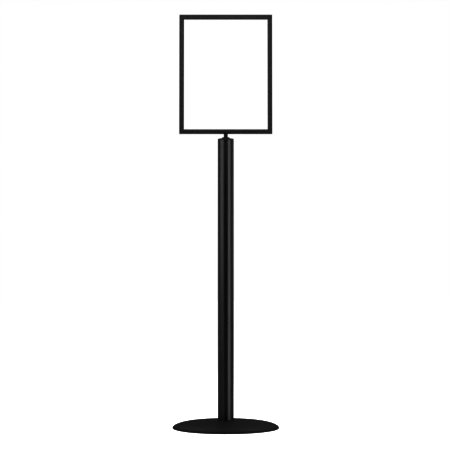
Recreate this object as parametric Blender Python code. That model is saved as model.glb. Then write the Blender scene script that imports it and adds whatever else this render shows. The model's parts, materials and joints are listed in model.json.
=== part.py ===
"""Freestanding sign stand: a weighted round base, a slotted round column, and
an open rectangular sign frame that swivels on a short stem at the column's top.

Units are metres, +Z is up. The origin is the centre of the base on the floor.
The sign frame stands in the XZ plane and its front faces -Y.
"""

import math

import bmesh
import bpy
from mathutils import Matrix, Vector

# ---- driving dimensions -------------------------------------------------

GAP = 0.0003                    # clearance between touching pieces

# Base: a spun cover over a cast weight, on a rubber edge ring.
BASE_RADIUS = 0.1669
COVER_THICKNESS = 0.0015
COVER_RIM_Z = 0.0023            # height of the cover's lower edge
SHOULDER_WIDTH = 0.050          # the rounded outer part of the cover
SHOULDER_RISE = 0.0138
CONE_RISE = 0.012               # rise of the cover's shallow cone over the full radius
SEAT_RADIUS = 0.026             # flat seat under the column
BOLT_HOLE_RADIUS = 0.0058
RING_THICKNESS = 0.0020         # rubber under the cover's edge
RING_INNER_RADIUS = 0.148
RING_LIP_INNER = 0.1590         # upstand that locates the ring inside the cover
RING_LIP_OUTER = 0.1625
RING_LIP_TOP = 0.0055
WEIGHT_RADIUS = 0.1585
WEIGHT_TOP_RADII = (0.1585, 0.150, 0.138, 0.118, 0.034)
WEIGHT_BOSS_RADIUS = 0.028
WEIGHT_DROP = 0.0030            # from the cover's outer face down to the weight's top
BOLT_RECESS_RADIUS = 0.016
BOLT_RECESS_TOP = 0.0140

# Base bolt and its washers.
BOLT_RADIUS = 0.0049
BOLT_HEAD_ACROSS_CORNERS = 0.0190
BOLT_HEAD_HEIGHT = 0.0062
BASE_WASHER_THICKNESS = 0.0020
BOLT_REACH = 0.034              # length of thread above the column's foot

# Column: a round extrusion with four T-slots, a central bore and four lobes.
POST_RADIUS = 0.0256
POST_TOP_Z = 0.9043
SLOT_HALF_WIDTH = 0.0055
SLOT_CAVITY_HALF_WIDTH = 0.0085
SLOT_CAVITY_TOP = 0.0214        # distance from the axis to the underside of the lips
SLOT_FLOOR = 0.0125             # distance from the axis to the slot's floor
BORE_RADIUS = 0.0080
LOBE_OFFSET = 0.0138            # centre of each lobe's hollow, in X and in Y
LOBE_RADIUS = 0.0040
INSERT_LENGTH = 0.038

# Column cap and swivel.
CAP_THICKNESS = 0.0044
CAP_NOTCH_DEPTH = 0.0045
CAP_PEG_LENGTH = 0.012
STEM_RADIUS = 0.0060
STEM_SHOULDER_Z = 0.8636
STEM_THREAD_RADIUS = 0.0040
STEM_END_Z = 0.8530
BUSH_CLEARANCE = 0.0003
UPPER_BUSH_Z = (0.8883, 0.9040)
LOWER_BUSH_Z = (0.8640, 0.8760)
THRUST_WASHER_THICKNESS = 0.0014
COLLAR_RADIUS = 0.0130
COLLAR_TOP_RADIUS = 0.0100
COLLAR_HEIGHT = 0.0033
STEM_WASHER_THICKNESS = 0.0008
LOCK_NUT_HEIGHT = 0.0065
LOCK_NUT_ACROSS_CORNERS = 0.0144

# Sign frame: four mitred rails joined by corner keys.
FRAME_BOTTOM_Z = 0.9255
FRAME_WIDTH = 0.2940
FRAME_HEIGHT = 0.3800
FRAME_FRONT_Y = -0.0070
FRAME_BACK_Y = 0.0060
RAIL_FACE = 0.0140              # width of a rail seen from the front
RAIL_BEVEL = 0.0030             # the 45 degree edges of the front face
RAIL_WALL = 0.0020              # outer wall of a rail
KEY_CHANNEL_END = 0.0074        # inner end of the channel that holds the keys
RIB_THICKNESS = 0.0012
CHANNEL_HALF_WIDTH = 0.0042
GROOVE_HALF_WIDTH = 0.0022      # half the thickness that the sheet groove takes
MITRE_GAP = 0.0002
KEY_LEG = 0.034                 # length of a corner key's leg from the frame's corner
KEY_SCREW_DISTANCE = 0.024      # from the frame's corner to a key's screw
KEY_SCREW_RADIUS = 0.0015
KEY_SCREW_LENGTH = 0.0066
BACKING_PLATE_LENGTH = 0.044
BACKING_PLATE_THICKNESS = 0.0015
STEM_SCREW_RADIUS = 0.0024
STEM_SCREW_REACH = 0.0125       # depth of the screw's tip below the rail's underside
STEM_TAPPED_DEPTH = 0.0140
STEM_SCREW_HEAD_RADIUS = 0.0038
STEM_SCREW_HEAD_HEIGHT = 0.0017
STEM_SCREW_SOCKET = 0.0015

BASE_SEGMENTS = 72
PIN_SEGMENTS = 40
HOLE_SEGMENTS = 20

# ---- derived heights ----------------------------------------------------

SEAT_Z = COVER_RIM_Z + SHOULDER_RISE + CONE_RISE * (1 - SEAT_RADIUS / BASE_RADIUS)
POST_FOOT_Z = SEAT_Z + GAP
CAP_BOTTOM_Z = POST_TOP_Z + GAP
CAP_TOP_Z = CAP_BOTTOM_Z + CAP_THICKNESS
COLLAR_BOTTOM_Z = CAP_TOP_Z + THRUST_WASHER_THICKNESS + 2 * GAP
FRAME_CENTRE_Z = FRAME_BOTTOM_Z + FRAME_HEIGHT / 2
PLATE_BOTTOM_Z = FRAME_BOTTOM_Z + RAIL_WALL + GAP
SCREW_HEAD_Z = PLATE_BOTTOM_Z + BACKING_PLATE_THICKNESS + GAP


# ---- scene, materials and objects ---------------------------------------

def clear_scene():
    for obj in list(bpy.data.objects):
        bpy.data.objects.remove(obj, do_unlink=True)


def make_material(name, colour, roughness, metallic):
    material = bpy.data.materials.new(name)
    material.use_nodes = True
    shader = material.node_tree.nodes["Principled BSDF"]
    shader.inputs["Base Color"].default_value = (*colour, 1.0)
    shader.inputs["Roughness"].default_value = roughness
    shader.inputs["Metallic"].default_value = metallic
    return material


def make_materials():
    return {
        "powder_coat": make_material("black_powder_coat", (0.012, 0.012, 0.013), 0.42, 0.0),
        "anodised": make_material("black_anodised", (0.014, 0.014, 0.015), 0.34, 0.4),
        "plastic": make_material("black_plastic", (0.015, 0.015, 0.016), 0.50, 0.0),
        "rubber": make_material("black_rubber", (0.020, 0.020, 0.020), 0.80, 0.0),
        "iron": make_material("cast_iron", (0.060, 0.058, 0.056), 0.75, 0.8),
        "zinc": make_material("zinc_plated_steel", (0.55, 0.55, 0.56), 0.35, 1.0),
        "nylon": make_material("white_nylon", (0.72, 0.71, 0.67), 0.55, 0.0),
    }


def place(name, mesh, material, parent=None, location=(0, 0, 0), rotation=(0, 0, 0)):
    """Link an object whose location and rotation are given in its parent's frame."""
    obj = bpy.data.objects.new(name, mesh)
    mesh.materials.append(material)
    obj.location = location
    obj.rotation_euler = rotation
    obj.parent = parent
    bpy.context.scene.collection.objects.link(obj)
    return obj


def finish_mesh(name, bm):
    """Turn a closed bmesh into a mesh with outward faces, smooth where it is round."""
    bmesh.ops.recalc_face_normals(bm, faces=bm.faces)
    for face in bm.faces:
        face.material_index = 0
    mesh = bpy.data.meshes.new(name)
    bm.to_mesh(mesh)
    bm.free()
    mesh.shade_smooth()
    mesh.set_sharp_from_angle(angle=math.radians(30))
    return mesh


# ---- shape builders -----------------------------------------------------

def turned(name, outline, segments=PIN_SEGMENTS):
    """Revolve a closed outline of (radius, z) points about the Z axis."""
    bm = bmesh.new()
    rings = []
    for radius, z in outline:
        if radius == 0:
            rings.append([bm.verts.new((0, 0, z))] * segments)
            continue
        angles = [2 * math.pi * i / segments for i in range(segments)]
        rings.append([bm.verts.new((radius * math.cos(a), radius * math.sin(a), z)) for a in angles])
    for ring, following in zip(rings, rings[1:] + rings[:1]):
        for i in range(segments):
            j = (i + 1) % segments
            corners = list(dict.fromkeys((ring[i], ring[j], following[j], following[i])))
            if len(corners) > 2:
                bm.faces.new(corners)
    return finish_mesh(name, bm)


def tube(name, inner, outer, bottom, top, segments=PIN_SEGMENTS):
    outline = [(inner, bottom), (outer, bottom), (outer, top), (inner, top)]
    return turned(name, outline, segments)


def prism(name, outline, bottom, top):
    """Extrude a closed (x, y) outline, without holes, from bottom to top along Z."""
    bm = bmesh.new()
    low = [bm.verts.new((x, y, bottom)) for x, y in outline]
    high = [bm.verts.new((x, y, top)) for x, y in outline]
    bm.faces.new(low)
    bm.faces.new(high)
    for i in range(len(outline)):
        j = (i + 1) % len(outline)
        bm.faces.new((low[i], low[j], high[j], high[i]))
    return finish_mesh(name, bm)


def circle_points(radius, count, centre=(0, 0)):
    angles = [2 * math.pi * i / count for i in range(count)]
    return [(centre[0] + radius * math.cos(a), centre[1] + radius * math.sin(a)) for a in angles]


def extruded_section(name, loops, bottom, top):
    """Extrude a section given as an outer loop and holes, each a list of (x, y) points."""
    curve = bpy.data.curves.new(name, "CURVE")
    curve.dimensions = "2D"
    curve.fill_mode = "BOTH"
    curve.extrude = (top - bottom) / 2
    for loop in loops:
        spline = curve.splines.new("POLY")
        spline.points.add(len(loop) - 1)
        spline.use_cyclic_u = True
        for point, (x, y) in zip(spline.points, loop):
            point.co = (x, y, 0, 1)
    source = bpy.data.objects.new(name, curve)
    mesh = bpy.data.meshes.new_from_object(source)
    bpy.data.objects.remove(source)
    bm = bmesh.new()
    bm.from_mesh(mesh)
    bpy.data.meshes.remove(mesh)
    bmesh.ops.remove_doubles(bm, verts=bm.verts, dist=1e-6)
    bmesh.ops.translate(bm, verts=bm.verts, vec=(0, 0, (top + bottom) / 2))
    return finish_mesh(name, bm)


def boolean(target, cutters, operation="DIFFERENCE"):
    """Combine hidden operand objects with the target; the operands are not parts."""
    for cutter in cutters:
        cutter.hide_render = True
        cutter.display_type = "WIRE"
        modifier = target.modifiers.new(f"{operation.lower()}_{cutter.name}", "BOOLEAN")
        modifier.operation = operation
        modifier.solver = "EXACT"
        modifier.object = cutter


# ---- base ---------------------------------------------------------------

def cover_height(radius):
    """Height of the cover's outer face: a shallow cone with an elliptical shoulder."""
    cone = CONE_RISE * (1 - radius / BASE_RADIUS)
    across = max(0.0, (radius - (BASE_RADIUS - SHOULDER_WIDTH)) / SHOULDER_WIDTH)
    return COVER_RIM_Z + cone + SHOULDER_RISE * math.sqrt(max(0.0, 1 - across * across))


def cover_profile():
    """Outer face points and unit normals, from the rim up to the flat seat."""
    steps = 9
    points = []
    for step in range(steps + 1):
        angle = math.radians(90) * (1 - step / steps)
        radius = BASE_RADIUS - SHOULDER_WIDTH * (1 - math.sin(angle))
        rise = Vector((SHOULDER_WIDTH * math.cos(angle),
                       -SHOULDER_RISE * math.sin(angle)
                       - CONE_RISE / BASE_RADIUS * SHOULDER_WIDTH * math.cos(angle)))
        normal = Vector((-rise.y, rise.x)).normalized()
        points.append((Vector((radius, cover_height(radius))), normal))
    return points


def add_base(materials, stand):
    outer = [tuple(point) for point, _ in cover_profile()]
    inner = [tuple(point - normal * COVER_THICKNESS) for point, normal in cover_profile()]
    seat_inner_z = SEAT_Z - COVER_THICKNESS
    outline = outer + [(SEAT_RADIUS, SEAT_Z), (BOLT_HOLE_RADIUS, SEAT_Z),
                       (BOLT_HOLE_RADIUS, seat_inner_z), (SEAT_RADIUS, seat_inner_z)]
    outline += inner[::-1]
    place("base_cover", turned("base_cover", outline, BASE_SEGMENTS), materials["powder_coat"], stand)

    ring = [(RING_INNER_RADIUS, 0), (BASE_RADIUS - 0.0014, 0), (BASE_RADIUS - 0.0004, 0.0010),
            (BASE_RADIUS - 0.0004, RING_THICKNESS), (RING_LIP_OUTER, RING_THICKNESS),
            (RING_LIP_OUTER, RING_LIP_TOP), (RING_LIP_INNER, RING_LIP_TOP),
            (RING_LIP_INNER, RING_THICKNESS), (RING_INNER_RADIUS, RING_THICKNESS)]
    place("base_edge_ring", turned("base_edge_ring", ring, BASE_SEGMENTS), materials["rubber"], stand)

    bottom = RING_THICKNESS + GAP
    boss_top = seat_inner_z - GAP
    slope = [(radius, cover_height(radius) - WEIGHT_DROP) for radius in WEIGHT_TOP_RADII]
    weight = [(BOLT_RECESS_RADIUS, bottom), (WEIGHT_RADIUS, bottom)] + slope
    weight += [(WEIGHT_BOSS_RADIUS, boss_top), (BOLT_HOLE_RADIUS, boss_top),
               (BOLT_HOLE_RADIUS, BOLT_RECESS_TOP), (BOLT_RECESS_RADIUS, BOLT_RECESS_TOP)]
    place("base_weight", turned("base_weight", weight, BASE_SEGMENTS), materials["iron"], stand)


def add_base_bolt(materials, stand):
    hole = BOLT_RADIUS + GAP
    washer_top = BOLT_RECESS_TOP - GAP
    washer_bottom = washer_top - BASE_WASHER_THICKNESS
    place("base_washer", tube("base_washer", hole, 0.0110, washer_bottom, washer_top),
          materials["zinc"], stand)

    lock_top = washer_bottom - GAP
    lock_bottom = lock_top - BASE_WASHER_THICKNESS
    split = math.radians(12)
    angles = [split / 2 + (2 * math.pi - split) * i / PIN_SEGMENTS for i in range(PIN_SEGMENTS + 1)]
    arc = [(0.0088 * math.cos(a), 0.0088 * math.sin(a)) for a in angles]
    arc += [(hole * math.cos(a), hole * math.sin(a)) for a in reversed(angles)]
    place("base_lock_washer", prism("base_lock_washer", arc, lock_bottom, lock_top),
          materials["zinc"], stand)

    head_top = lock_bottom - GAP
    head_bottom = head_top - BOLT_HEAD_HEIGHT
    head = prism("base_bolt", circle_points(BOLT_HEAD_ACROSS_CORNERS / 2, 6), head_bottom, head_top)
    bolt = place("base_bolt", head, materials["zinc"], stand)
    shank = [(0, head_top - 0.002), (BOLT_RADIUS, head_top - 0.002),
             (BOLT_RADIUS, POST_FOOT_Z + BOLT_REACH - 0.001),
             (BOLT_RADIUS - 0.001, POST_FOOT_Z + BOLT_REACH), (0, POST_FOOT_Z + BOLT_REACH)]
    operand = place("bolt_shank", turned("bolt_shank", shank), materials["zinc"], stand)
    boolean(bolt, [operand], "UNION")

    insert = tube("post_foot_insert", hole, BORE_RADIUS - GAP,
                  POST_FOOT_Z + GAP, POST_FOOT_Z + INSERT_LENGTH)
    place("post_foot_insert", insert, materials["zinc"], stand)


# ---- column -------------------------------------------------------------

def quarter_turns(points):
    """Repeat a list of (x, y) points four times, a quarter turn apart."""
    turned_points = []
    for quarter in range(4):
        spin = Matrix.Rotation(math.radians(90) * quarter, 2)
        turned_points += [tuple(spin @ Vector(point)) for point in points]
    return turned_points


def column_outline():
    """One slot, centred on +X, and the round lobe after it, repeated round the axis."""
    edge = math.asin(SLOT_HALF_WIDTH / POST_RADIUS)
    slot = [(SLOT_CAVITY_TOP, -SLOT_HALF_WIDTH), (SLOT_CAVITY_TOP, -SLOT_CAVITY_HALF_WIDTH),
            (SLOT_FLOOR, -SLOT_CAVITY_HALF_WIDTH), (SLOT_FLOOR, SLOT_CAVITY_HALF_WIDTH),
            (SLOT_CAVITY_TOP, SLOT_CAVITY_HALF_WIDTH), (SLOT_CAVITY_TOP, SLOT_HALF_WIDTH)]
    steps = 12
    sweep = math.radians(90) - 2 * edge
    angles = [edge + sweep * i / steps for i in range(steps + 1)]
    lobe = [(POST_RADIUS * math.cos(a), POST_RADIUS * math.sin(a)) for a in angles]
    return quarter_turns(slot + lobe)


def lobe_centres():
    return quarter_turns([(LOBE_OFFSET, LOBE_OFFSET)])


def add_column(materials, stand):
    holes = [circle_points(BORE_RADIUS, PIN_SEGMENTS)]
    holes += [circle_points(LOBE_RADIUS, 16, centre) for centre in lobe_centres()]
    section = extruded_section("post_extrusion", [column_outline()] + holes, POST_FOOT_Z, POST_TOP_Z)
    place("post_extrusion", section, materials["anodised"], stand)


def cap_outline():
    """Round cap with a notch over each slot of the column."""
    edge = math.asin(SLOT_HALF_WIDTH / POST_RADIUS)
    notch_floor = POST_RADIUS - CAP_NOTCH_DEPTH
    notch = [(notch_floor, -SLOT_HALF_WIDTH), (notch_floor, SLOT_HALF_WIDTH)]
    steps = 12
    sweep = math.radians(90) - 2 * edge
    angles = [edge + sweep * i / steps for i in range(steps + 1)]
    rim = [(POST_RADIUS * math.cos(a), POST_RADIUS * math.sin(a)) for a in angles]
    return quarter_turns(notch + rim)


def add_cap(materials, stand):
    hole = circle_points(STEM_RADIUS + 2 * GAP, PIN_SEGMENTS)
    plate = extruded_section("post_top_cap", [cap_outline(), hole], CAP_BOTTOM_Z, CAP_TOP_Z)
    cap = place("post_top_cap", plate, materials["plastic"], stand)
    pegs = []
    for number, (x, y) in enumerate(lobe_centres()):
        name = f"cap_peg_{number + 1}"
        peg = prism(name, circle_points(LOBE_RADIUS - GAP, 16, (x, y)),
                    CAP_BOTTOM_Z - CAP_PEG_LENGTH, CAP_BOTTOM_Z + CAP_THICKNESS / 2)
        pegs.append(place(name, peg, materials["plastic"], stand))
    boolean(cap, pegs, "UNION")


def add_bearings(materials, stand):
    inner = STEM_RADIUS + BUSH_CLEARANCE
    outer = BORE_RADIUS - GAP
    for name, (bottom, top) in (("stem_upper_bush", UPPER_BUSH_Z), ("stem_lower_bush", LOWER_BUSH_Z)):
        place(name, tube(name, inner, outer, bottom, top), materials["nylon"], stand)
    washer = tube("swivel_thrust_washer", inner, COLLAR_RADIUS - 0.001,
                  CAP_TOP_Z + GAP, CAP_TOP_Z + GAP + THRUST_WASHER_THICKNESS)
    place("swivel_thrust_washer", washer, materials["plastic"], stand)


# ---- stem ---------------------------------------------------------------

def add_stem(materials, head):
    """The stem and what is on it. Heights are measured from the head's own origin."""
    origin = COLLAR_BOTTOM_Z
    top = FRAME_BOTTOM_Z - GAP - origin
    shoulder = STEM_SHOULDER_Z - origin
    end = STEM_END_Z - origin
    tapped = STEM_SCREW_RADIUS + GAP
    tapped_floor = top - STEM_TAPPED_DEPTH
    chamfer = 0.0008
    outline = [(0, end), (STEM_THREAD_RADIUS - chamfer, end), (STEM_THREAD_RADIUS, end + chamfer),
               (STEM_THREAD_RADIUS, shoulder), (STEM_RADIUS, shoulder), (STEM_RADIUS, top),
               (tapped, top), (tapped, tapped_floor), (0, tapped_floor)]
    place("stem", turned("stem", outline), materials["powder_coat"], head)

    collar = [(STEM_RADIUS + GAP, 0), (COLLAR_RADIUS, 0), (COLLAR_RADIUS, COLLAR_HEIGHT * 0.4),
              (COLLAR_TOP_RADIUS, COLLAR_HEIGHT), (STEM_RADIUS + GAP, COLLAR_HEIGHT)]
    place("stem_collar", turned("stem_collar", collar), materials["powder_coat"], head)

    washer_top = shoulder - GAP
    washer_bottom = washer_top - STEM_WASHER_THICKNESS
    washer = tube("stem_retaining_washer", STEM_THREAD_RADIUS + GAP, BORE_RADIUS - 2 * GAP,
                  washer_bottom, washer_top)
    place("stem_retaining_washer", washer, materials["zinc"], head)

    nut_top = washer_bottom - GAP
    nut = extruded_section("stem_lock_nut",
                           [circle_points(LOCK_NUT_ACROSS_CORNERS / 2, 6),
                            circle_points(STEM_THREAD_RADIUS + GAP, PIN_SEGMENTS)],
                           nut_top - LOCK_NUT_HEIGHT, nut_top)
    place("stem_lock_nut", nut, materials["zinc"], head)


# ---- sign frame ---------------------------------------------------------

def rail_section():
    """Rail section as (distance in from the frame's outer edge, y) points."""
    front, back = FRAME_FRONT_Y, FRAME_BACK_Y
    bevel_y = front + RAIL_BEVEL
    back_chamfer = 0.0006
    lip = RAIL_FACE - RIB_THICKNESS
    rib_end = KEY_CHANNEL_END + RIB_THICKNESS
    channel = [(RAIL_FACE, GROOVE_HALF_WIDTH), (lip, GROOVE_HALF_WIDTH), (lip, CHANNEL_HALF_WIDTH),
               (rib_end, CHANNEL_HALF_WIDTH), (rib_end, GROOVE_HALF_WIDTH),
               (KEY_CHANNEL_END, GROOVE_HALF_WIDTH), (KEY_CHANNEL_END, CHANNEL_HALF_WIDTH),
               (RAIL_WALL, CHANNEL_HALF_WIDTH)]
    face = [(0, bevel_y), (RAIL_BEVEL, front), (RAIL_FACE - RAIL_BEVEL, front), (RAIL_FACE, bevel_y)]
    reverse = [(RAIL_FACE, back - back_chamfer), (RAIL_FACE - back_chamfer, back),
               (back_chamfer, back), (0, back - back_chamfer)]
    front_half = [(across, -y) for across, y in channel]
    return face + front_half + channel[::-1] + reverse


def mitred_rail(name, length):
    """A rail along local X whose ends are cut at 45 degrees, with its outer edge at z = 0."""
    section = rail_section()
    bm = bmesh.new()
    ends = []
    for side in (-1, 1):
        reach = [side * (length / 2 - MITRE_GAP - across) for across, _ in section]
        ends.append([bm.verts.new((x, y, across)) for x, (across, y) in zip(reach, section)])
        bm.faces.new(ends[-1])
    for i in range(len(section)):
        j = (i + 1) % len(section)
        bm.faces.new((ends[0][i], ends[0][j], ends[1][j], ends[1][i]))
    return finish_mesh(name, bm)


def drill(name, radius, low, high, material, parent, location, rotation=(0, 0, 0)):
    """A cutter for a round hole along local Z between two heights."""
    mesh = prism(name, circle_points(radius, HOLE_SEGMENTS), low, high)
    return place(name, mesh, material, parent, location, rotation)


FACING_BACK = (math.radians(-90), 0, 0)     # local Z turned towards +Y
FACING_FRONT = (math.radians(90), 0, 0)     # local Z turned towards -Y

# Name, length, distance from the frame's centre, and turn about Y of each rail.
FRAME_SIDES = (
    ("bottom", FRAME_WIDTH, FRAME_HEIGHT / 2, 0),
    ("right", FRAME_HEIGHT, FRAME_WIDTH / 2, 270),
    ("top", FRAME_WIDTH, FRAME_HEIGHT / 2, 180),
    ("left", FRAME_HEIGHT, FRAME_WIDTH / 2, 90),
)


def side_matrix(turn, distance):
    """From a rail's own frame to the frame centre's: turned about Y, set out from the centre."""
    return Matrix.Rotation(math.radians(turn), 4, "Y") @ Matrix.Translation((0, 0, -distance))


def add_rails(materials, frame_centre):
    coat = materials["powder_coat"]
    middle = (RAIL_WALL + KEY_CHANNEL_END) / 2
    for side, length, distance, turn in FRAME_SIDES:
        name = f"frame_{side}_rail"
        matrix = side_matrix(turn, distance)
        rail = place(name, mitred_rail(name, length), coat, frame_centre,
                     matrix.translation, matrix.to_euler())
        cutters = []
        for end in (-1, 1):
            hole = f"{side}_screw_hole_{'left' if end < 0 else 'right'}"
            spot = matrix @ Vector((end * (length / 2 - KEY_SCREW_DISTANCE), 0, middle))
            cutters.append(drill(hole, KEY_SCREW_RADIUS, 0, 2 * FRAME_BACK_Y, coat, frame_centre,
                                 spot, FACING_BACK))
        if side == "bottom":
            cutters.append(drill("stem_screw_hole", STEM_SCREW_RADIUS + GAP, -RAIL_WALL,
                                 2 * RAIL_WALL, coat, frame_centre, matrix.translation))
        boolean(rail, cutters)


def key_section():
    """Near and far faces of a key's leg, measured in from the frame's outer edge."""
    return RAIL_WALL + GAP, KEY_CHANNEL_END - GAP


def add_keys(materials, frame_centre):
    near, far = key_section()
    half = CHANNEL_HALF_WIDTH - GAP
    middle = (near + far) / 2
    outline = [(near, near), (KEY_LEG, near), (KEY_LEG, far), (far, far), (far, KEY_LEG), (near, KEY_LEG)]
    corners = (("bottom_left", -1, -1), ("bottom_right", 1, -1), ("top_right", 1, 1), ("top_left", -1, 1))
    for corner, side_x, side_z in corners:
        def from_corner(point):
            return (side_x * (FRAME_WIDTH / 2 - point[0]), side_z * (FRAME_HEIGHT / 2 - point[1]))

        name = f"corner_key_{corner}"
        flat = [from_corner(point) for point in outline]
        mesh = prism(name, [(x, -z) for x, z in flat], -half, half)
        mesh.transform(Matrix.Rotation(math.radians(-90), 4, "X"))
        key = place(name, mesh, materials["zinc"], frame_centre)
        cutters = []
        for leg, spot in (("x", (KEY_SCREW_DISTANCE, middle)), ("z", (middle, KEY_SCREW_DISTANCE))):
            x, z = from_corner(spot)
            cutters.append(drill(f"{name}_hole_{leg}", KEY_SCREW_RADIUS, -2 * half, 2 * half,
                                 materials["zinc"], frame_centre, (x, 0, z), FACING_BACK))
            screw_name = f"key_screw_{corner}_{leg}"
            place(screw_name, set_screw(screw_name), materials["zinc"], frame_centre,
                  (x, KEY_SCREW_LENGTH - CHANNEL_HALF_WIDTH + GAP, z), FACING_FRONT)
        boolean(key, cutters)


def set_screw(name):
    """Socket set screw whose open end is at z = 0 and whose body runs towards +Z."""
    body = KEY_SCREW_RADIUS - GAP
    socket = body * 0.55
    depth = KEY_SCREW_LENGTH * 0.3
    outline = [(socket, 0), (body, 0), (body, KEY_SCREW_LENGTH - 0.0005),
               (body * 0.6, KEY_SCREW_LENGTH), (0, KEY_SCREW_LENGTH), (0, depth), (socket, depth)]
    return turned(name, outline, 12)


def add_stem_fixing(materials, frame_centre):
    """A backing strip in the bottom rail's channel, and the screw down into the stem."""
    half_length = BACKING_PLATE_LENGTH / 2
    half_width = CHANNEL_HALF_WIDTH - GAP
    outline = [(-half_length, -half_width), (half_length, -half_width),
               (half_length, half_width), (-half_length, half_width)]
    bottom = PLATE_BOTTOM_Z - FRAME_CENTRE_Z
    section = [outline, circle_points(STEM_SCREW_RADIUS + GAP, HOLE_SEGMENTS)]
    plate = extruded_section("stem_backing_plate", section, bottom, bottom + BACKING_PLATE_THICKNESS)
    place("stem_backing_plate", plate, materials["zinc"], frame_centre)

    head = SCREW_HEAD_Z - FRAME_CENTRE_Z
    top = head + STEM_SCREW_HEAD_HEIGHT
    socket_floor = head + STEM_SCREW_HEAD_HEIGHT * 0.4
    tip = FRAME_BOTTOM_Z - STEM_SCREW_REACH - FRAME_CENTRE_Z
    chamfer = 0.0006
    outline = [(0, tip), (STEM_SCREW_RADIUS - chamfer, tip), (STEM_SCREW_RADIUS, tip + chamfer),
               (STEM_SCREW_RADIUS, head), (STEM_SCREW_HEAD_RADIUS, head),
               (STEM_SCREW_HEAD_RADIUS, top - chamfer), (STEM_SCREW_HEAD_RADIUS - chamfer, top),
               (STEM_SCREW_SOCKET, top), (STEM_SCREW_SOCKET, socket_floor), (0, socket_floor)]
    place("stem_fixing_screw", turned("stem_fixing_screw", outline, 24), materials["zinc"], frame_centre)


# ---- assembly -----------------------------------------------------------

def add_empty(name, parent, location):
    empty = bpy.data.objects.new(name, None)
    empty.location = location
    empty.parent = parent
    bpy.context.scene.collection.objects.link(empty)
    return empty


def main():
    clear_scene()
    materials = make_materials()
    stand = add_empty("stand", None, (0, 0, 0))
    add_base(materials, stand)
    add_base_bolt(materials, stand)
    add_column(materials, stand)
    add_cap(materials, stand)
    add_bearings(materials, stand)

    head = add_empty("sign_head", stand, (0, 0, COLLAR_BOTTOM_Z))
    add_stem(materials, head)
    frame_centre = add_empty("frame_centre", head, (0, 0, FRAME_CENTRE_Z - COLLAR_BOTTOM_Z))
    add_rails(materials, frame_centre)
    add_keys(materials, frame_centre)
    add_stem_fixing(materials, frame_centre)
    bpy.context.view_layer.update()


main()
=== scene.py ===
"""Looks for the freestanding sign stand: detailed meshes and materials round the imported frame.

Units are metres and +Z is up. The column stands on the Z axis and the sign frame's front faces -Y.
Places and outer sizes come from the frame's nodes; the constants are the finer dimensions.
"""

import json
import math

import bmesh
import bpy
from mathutils import Matrix, Vector


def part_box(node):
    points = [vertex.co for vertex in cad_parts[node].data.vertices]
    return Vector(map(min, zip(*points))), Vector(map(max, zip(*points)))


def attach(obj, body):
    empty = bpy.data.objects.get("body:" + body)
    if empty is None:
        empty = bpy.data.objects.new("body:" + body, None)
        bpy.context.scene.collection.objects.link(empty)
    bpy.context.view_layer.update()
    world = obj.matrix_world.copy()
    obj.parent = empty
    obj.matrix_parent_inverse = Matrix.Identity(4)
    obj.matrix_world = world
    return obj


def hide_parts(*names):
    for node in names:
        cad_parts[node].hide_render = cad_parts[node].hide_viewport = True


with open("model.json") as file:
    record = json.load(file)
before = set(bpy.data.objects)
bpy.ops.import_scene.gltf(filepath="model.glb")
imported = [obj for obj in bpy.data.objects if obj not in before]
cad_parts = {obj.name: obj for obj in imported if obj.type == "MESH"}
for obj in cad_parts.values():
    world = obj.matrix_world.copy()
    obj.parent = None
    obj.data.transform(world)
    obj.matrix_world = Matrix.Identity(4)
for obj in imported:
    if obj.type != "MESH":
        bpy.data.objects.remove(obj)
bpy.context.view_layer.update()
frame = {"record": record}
RECORD = frame["record"]
BODY_OF = {node: body for body, nodes in RECORD["behaviour"]["bodies"].items() for node in nodes}

# ---- fineness of the meshes ---------------------------------------------------

BASE_STEPS = 192                # segments round the base
WEIGHT_STEPS = 96               # segments round the cast weight
ROUND_STEPS = 72                # segments round small turned pieces
HOLE_STEPS = 32                 # segments round small holes
COVER_STEPS = 40                # rings from the cover's rim to the end of its shoulder
THREAD_STEPS = 8                # rings in each turn of a thread
CORNER_STEPS = 4                # segments of a rounded corner
SHARP_ANGLE = math.radians(32)  # edges that bend more than this stay sharp
QUARTER = math.radians(90)

# ---- dimensions that the node boxes don't give ----------------------------------

COVER_THICKNESS = 0.0015
SHOULDER_WIDTH = 0.050
SHOULDER_RISE = 0.0138
CONE_RISE = 0.012
SEAT_RADIUS = 0.026
SEAT_BLEND = 0.001              # half the width of the bend at the seat's edge
BOLT_HOLE_RADIUS = 0.0058

RING_INNER = 0.1480
RING_THICKNESS = 0.0020
RING_ROUND = 0.0011             # radius of the outer lower edge
RING_GROOVES = (0.1520, 0.1560, 0.1600)
RING_LIP = (0.1590, 0.1625)     # inner and outer radius

WEIGHT_GAP = 0.0031             # from the cover's outside down to the weight's slope
WEIGHT_SLOPE = (0.154, 0.150, 0.144, 0.138, 0.128, 0.118, 0.034)    # radii of its rings
WEIGHT_SEAT = 0.028
WEIGHT_BORE = 0.0060
WEIGHT_WELL = (0.016, 0.0142)   # radius and top of the well for the bolt's head
# Radii of the two ring-shaped recesses below: inner edge, inner bed, outer bed, outer edge.
WEIGHT_RECESSES = ((0.040, 0.046, 0.088, 0.093), (0.101, 0.106, 0.142, 0.147))
WEIGHT_RECESS_DEPTH = 0.0022

BASE_WASHER_HOLE = 0.0053
BASE_PITCH = 0.0015             # thread of the base bolt and the foot insert
STEM_PITCH = 0.00125            # thread of the stem's lower end and its nut
HEX_CHAMFER = 0.95              # where a hexagon's chamfer starts, as a share of the apothem
HEX_CHAMFER_SLOPE = 0.58

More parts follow.
